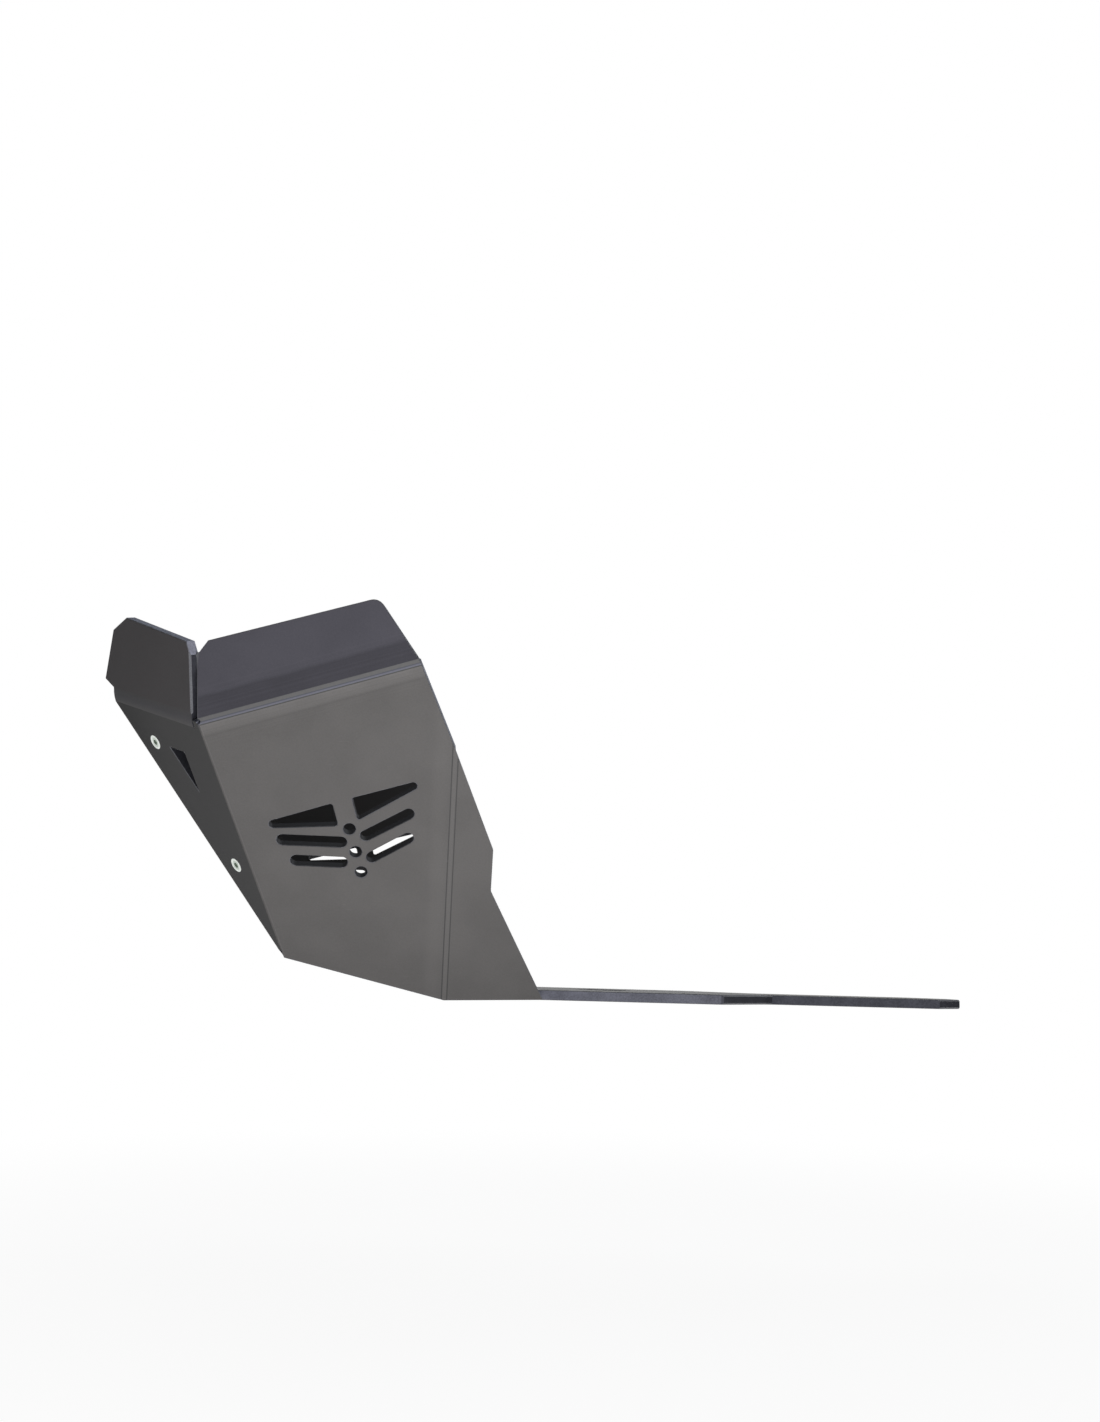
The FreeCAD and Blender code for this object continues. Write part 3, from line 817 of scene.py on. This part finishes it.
def screw_thread(tree, size):
    """The threaded part below the plain shank."""
    length = calc(tree, "SUBTRACT", size["Total Length"], size["Plain Length"])
    inputs = {"Vertices": thread_sides, "Side Segments": thread_rows, "Radius": size["Shank Radius"],
              "Depth": length}
    thread = add(tree, "GeometryNodeMeshCylinder", inputs).outputs["Mesh"]
    parts = position_parts(tree)
    turn = calc(tree, "DIVIDE", calc(tree, "ARCTAN2", parts["Y"], parts["X"]), 2.0 * math.pi)
    phase = calc(tree, "ADD", calc(tree, "DIVIDE", parts["Z"], size["Thread Pitch"]), turn)
    wave = calc(tree, "MULTIPLY", calc(tree, "PINGPONG", phase, 0.5), 2.0)
    depth = calc(tree, "DIVIDE", calc(tree, "MULTIPLY", wave, size["Thread Depth"]), size["Shank Radius"])
    inputs = {axis: calc(tree, "MULTIPLY", parts[axis], depth) for axis in ("X", "Y")}
    inwards = add(tree, "ShaderNodeCombineXYZ", inputs).outputs[0]
    inwards = add(tree, "ShaderNodeVectorMath", {0: inwards, "Scale": -1.0}, operation="SCALE").outputs[0]
    thread = add(tree, "GeometryNodeSetPosition", {"Geometry": thread, "Offset": inwards}).outputs[0]
    above = calc(tree, "MULTIPLY", size["Plain Length"], -1.0)
    return moved(tree, thread, calc(tree, "MULTIPLY_ADD", length, -0.5, above))


print("thread faces", thread_sides * thread_rows)

# %% [markdown]
# The whole tree joins the three parts, turns each copy along the point's own lean, and ends in real
# geometry with the plating's material.

# %% Screw tree
size_names = ("Head Radius", "Shank Radius", "Thread Depth", "Thread Pitch", "Plain Length", "Total Length",
              "Socket Flats", "Socket Depth")


def screw_tree():
    tree = bpy.data.node_groups.new("countersunk_screws", "GeometryNodeTree")
    tree.interface.new_socket("Geometry", in_out="INPUT", socket_type="NodeSocketGeometry")
    for name in size_names:
        tree.interface.new_socket(name, in_out="INPUT", socket_type="NodeSocketFloat")
    tree.interface.new_socket("Zinc", in_out="INPUT", socket_type="NodeSocketMaterial")
    tree.interface.new_socket("Geometry", in_out="OUTPUT", socket_type="NodeSocketGeometry")
    size = add(tree, "NodeGroupInput").outputs
    head_depth = calc(tree, "SUBTRACT", size["Head Radius"], size["Shank Radius"])
    head = screw_head(tree, size, head_depth)
    shank = screw_shank(tree, size, head_depth)
    thread = screw_thread(tree, size)
    whole = add(tree, "GeometryNodeJoinGeometry")
    for part in (thread, shank, head):
        tree.links.new(part, whole.inputs[0])
    lean = add(tree, "GeometryNodeInputNamedAttribute", {"Name": "lean"}, data_type="FLOAT_VECTOR").outputs[0]
    turned = add(tree, "FunctionNodeAlignRotationToVector", {"Vector": lean}, axis="Z").outputs[0]
    inputs = {"Points": size["Geometry"], "Instance": whole.outputs[0], "Rotation": turned}
    placed = add(tree, "GeometryNodeInstanceOnPoints", inputs).outputs[0]
    real = add(tree, "GeometryNodeRealizeInstances", {0: placed}).outputs[0]
    painted = add(tree, "GeometryNodeSetMaterial", {"Geometry": real, "Material": size["Zinc"]}).outputs[0]
    add(tree, "NodeGroupOutput", {"Geometry": painted})
    return tree


screw_nodes = screw_tree()
print("tree", screw_nodes.name, "nodes", len(screw_nodes.nodes))

# %% [markdown]
# Zinc plating is bright and slightly uneven, with a faint cool tone. Its colour and roughness vary with
# a fine noise, and the metal is fully metallic. Around the socket the head is duller than at its rim,
# where it is rubbed bright.

# %% Zinc material
zinc_dull, zinc_bright = (0.66, 0.7, 0.66, 1.0), (0.82, 0.85, 0.81, 1.0)
socket_tone = (0.62, 0.66, 0.62, 1.0)
socket_edge, rubbed_edge = 0.55, 0.9
zinc_cloud_scale = 420.0
zinc_cloud_low, zinc_cloud_high = 0.35, 0.65
zinc_bump, zinc_bump_depth = 0.2, 0.1 * millimetre
zinc_roughness, zinc_roughness_range = 0.22, 0.22


def zinc_material():
    material, tree, shader, place = new_material("zinc_plating")
    cloud = noise(tree, place, zinc_cloud_scale, detail=3.0)
    colour = blend(tree, ramp(tree, cloud, zinc_cloud_low, zinc_cloud_high), zinc_dull, zinc_bright)
    rim = add(tree, "ShaderNodeAttribute", attribute_name="rim").outputs["Fac"]
    near_socket = calc(tree, "SUBTRACT", 1.0, ramp(tree, rim, socket_edge, rubbed_edge))
    colour = blend(tree, near_socket, colour, socket_tone, "MULTIPLY")
    rough = calc(tree, "MULTIPLY_ADD", cloud, zinc_roughness_range, zinc_roughness)
    shader.inputs["Metallic"].default_value = 1.0
    link_shader(tree, shader, colour, rough, zinc_bump, zinc_bump_depth, cloud)
    return material


zinc = zinc_material()
print("material", zinc.name)

# %% [markdown]
# The record's mounts say where the screws' free ends are and which way they point. Half a thread and
# one sheet further out lies the middle of each head, flush with the skin, so the points go there.

# %% Place the screws
sheet_thickness = 8.0 * millimetre
screw_crease = math.radians(30.0)
screw_sizes = {
    "Head Radius": 5.8 * millimetre,
    "Shank Radius": 3.0 * millimetre,
    "Thread Depth": 0.55 * millimetre,
    "Thread Pitch": 1.0 * millimetre,
    "Plain Length": sheet_thickness,
    "Total Length": 25.0 * millimetre,
    "Socket Flats": 4.0 * millimetre,
    "Socket Depth": 2.4 * millimetre,
}
places = []
for mount in frame["record"]["mounts"]:
    if mount["kind"] == "pin":
        inward = Vector(mount["axis"]).normalized()
        half_thread = mount["dims"]["length_mm"] * millimetre / 2.0
        places.append((Vector(mount["pos_m"]) - inward * (half_thread + sheet_thickness), -inward))
seats = bpy.data.meshes.new("screw_seats")
seats.from_pydata([place for place, lean in places], [], [])
leans = seats.attributes.new("lean", "FLOAT_VECTOR", "POINT")
for index, (place, lean) in enumerate(places):
    leans.data[index].vector = lean

screws = bpy.data.objects.new("zinc_screws", seats)
scene.collection.objects.link(screws)
making = screws.modifiers.new("screws", "NODES")
making.node_group = screw_nodes
for item in screw_nodes.interface.items_tree:
    if item.in_out == "INPUT" and item.name in screw_sizes:
        making[item.identifier] = screw_sizes[item.name]
    if item.in_out == "INPUT" and item.name == "Zinc":
        making[item.identifier] = zinc
apply_modifiers(screws)
screws.data.set_sharp_from_angle(angle=screw_crease)
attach(screws, "root")
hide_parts("front_screws")
print("screws", len(places), "faces", len(screws.data.polygons))

# %% [markdown]
# The stage is a pale floor, one ground clearance below the belly, so that the part hangs at its true
# height. The background is white: the world and most of the floor show white to the camera, and the
# floor keeps a faint shadow, strongest near the part.

# %% Floor
ground_clearance = 0.22
floor_size = 40.0
floor_grey = 0.85
shadow_near, shadow_far = 0.35, 1.1
near_white = 0.94
pure_white = (1.0, 1.0, 1.0, 1.0)


def white_for_camera(tree):
    """1 for rays that show the background, 0 for rays that light the object."""
    rays = add(tree, "ShaderNodeLightPath").outputs
    seen = calc(tree, "MAXIMUM", rays["Is Camera Ray"], rays["Is Glossy Ray"])
    return calc(tree, "MAXIMUM", seen, rays["Is Transmission Ray"])


half = floor_size / 2.0
floor_corners = [(-half, -half, 0), (half, -half, 0), (half, half, 0), (-half, half, 0)]
floor_mesh = bpy.data.meshes.new("pale_floor")
floor_mesh.from_pydata(floor_corners, [], [(0, 1, 2, 3)])
floor_mesh.transform(Matrix.Translation((0, 0, -ground_clearance)))
floor = bpy.data.objects.new("pale_floor", floor_mesh)
scene.collection.objects.link(floor)
floor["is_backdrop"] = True
pale_floor = bpy.data.materials.new("pale_floor")
pale_floor.use_nodes = True
tree = pale_floor.node_tree
tree.nodes.clear()
diffuse = add(tree, "ShaderNodeBsdfDiffuse", {"Color": grey(floor_grey)}).outputs[0]
glow = add(tree, "ShaderNodeEmission", {"Color": pure_white, "Strength": 1.0}).outputs[0]
place = add(tree, "ShaderNodeTexCoord").outputs["Object"]
away = add(tree, "ShaderNodeVectorMath", {0: place}, operation="LENGTH").outputs["Value"]
fade = calc(tree, "MULTIPLY_ADD", ramp(tree, away, shadow_near, shadow_far), 1.0 - near_white, near_white)
share = calc(tree, "MULTIPLY", white_for_camera(tree), fade)
mixed = add(tree, "ShaderNodeMixShader", {0: share, 1: diffuse, 2: glow}).outputs[0]
add(tree, "ShaderNodeOutputMaterial", {"Surface": mixed})
floor_mesh.materials.append(pale_floor)
print("floor at", -ground_clearance)

# %% [markdown]
# The world gives a faint cool light from all sides to the object, and plain white to the camera.

# %% World
ambient_colour = (0.85, 0.93, 1.0, 1.0)
ambient_strength = 0.042

world = bpy.data.worlds.new("studio")
scene.world = world
world.use_nodes = True
tree = world.node_tree
tree.nodes.clear()
inputs = {"Color": ambient_colour, "Strength": ambient_strength}
ambient = add(tree, "ShaderNodeBackground", inputs).outputs[0]
white = add(tree, "ShaderNodeBackground", {"Color": pure_white, "Strength": 1.0}).outputs[0]
mixed = add(tree, "ShaderNodeMixShader", {0: white_for_camera(tree), 1: ambient, 2: white}).outputs[0]
add(tree, "ShaderNodeOutputWorld", {"Surface": mixed})
scene.view_settings.view_transform = "Standard"
print("world", world.name, "strength", ambient_strength)

# %% [markdown]
# Soft studio light: two wide lamps lie low on the left and on the right and shine upwards, like the light
# that a bright floor throws back. They make the wings the brightest panels and leave the front facets
# dark. A weaker, cool lamp hangs high on the far side and lights the inside.

# %% Lamps
bounce_ahead, bounce_aside, bounce_height, bounce_aim = 0.12, 0.95, -0.21, 1.0
bounce_size, bounce_power = 1.3, 15.4
bounce_colour = (1.0, 0.985, 0.995)
overhead_place, overhead_aim = (0.15, 1.05, 1.2), (-0.22, -0.1, 0.12)
overhead_size, overhead_power = 0.8, 12.0
overhead_colour = (0.92, 0.96, 1.0)


def soft_lamp(name, place, aim, size, power, colour):
    """A square area lamp that the camera doesn't see."""
    lamp = bpy.data.objects.new(name, bpy.data.lights.new(name, "AREA"))
    lamp.data.shape = "SQUARE"
    lamp.data.size = size
    lamp.data.energy = power
    lamp.data.color = colour
    towards = Vector(aim) - Vector(place)
    lamp.matrix_world = Matrix.Translation(place) @ towards.to_track_quat("-Z", "Y").to_matrix().to_4x4()
    lamp.visible_camera = False
    scene.collection.objects.link(lamp)


for name, side in (("left_bounce", -bounce_aside), ("right_bounce", bounce_aside)):
    place, aim = (bounce_ahead, side, bounce_height), (bounce_ahead, side, bounce_aim)
    soft_lamp(name, place, aim, bounce_size, bounce_power, bounce_colour)
soft_lamp("overhead", overhead_place, overhead_aim, overhead_size, overhead_power, overhead_colour)
print("lamps", [thing.name for thing in scene.objects if thing.type == "LIGHT"])

# %% [markdown]
# The last step prints the box of the dressed part.

# %% Size of the dressed part
visual_box = [list(corner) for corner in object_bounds()]
print("visual box", [[round(v, 4) for v in corner] for corner in visual_box])
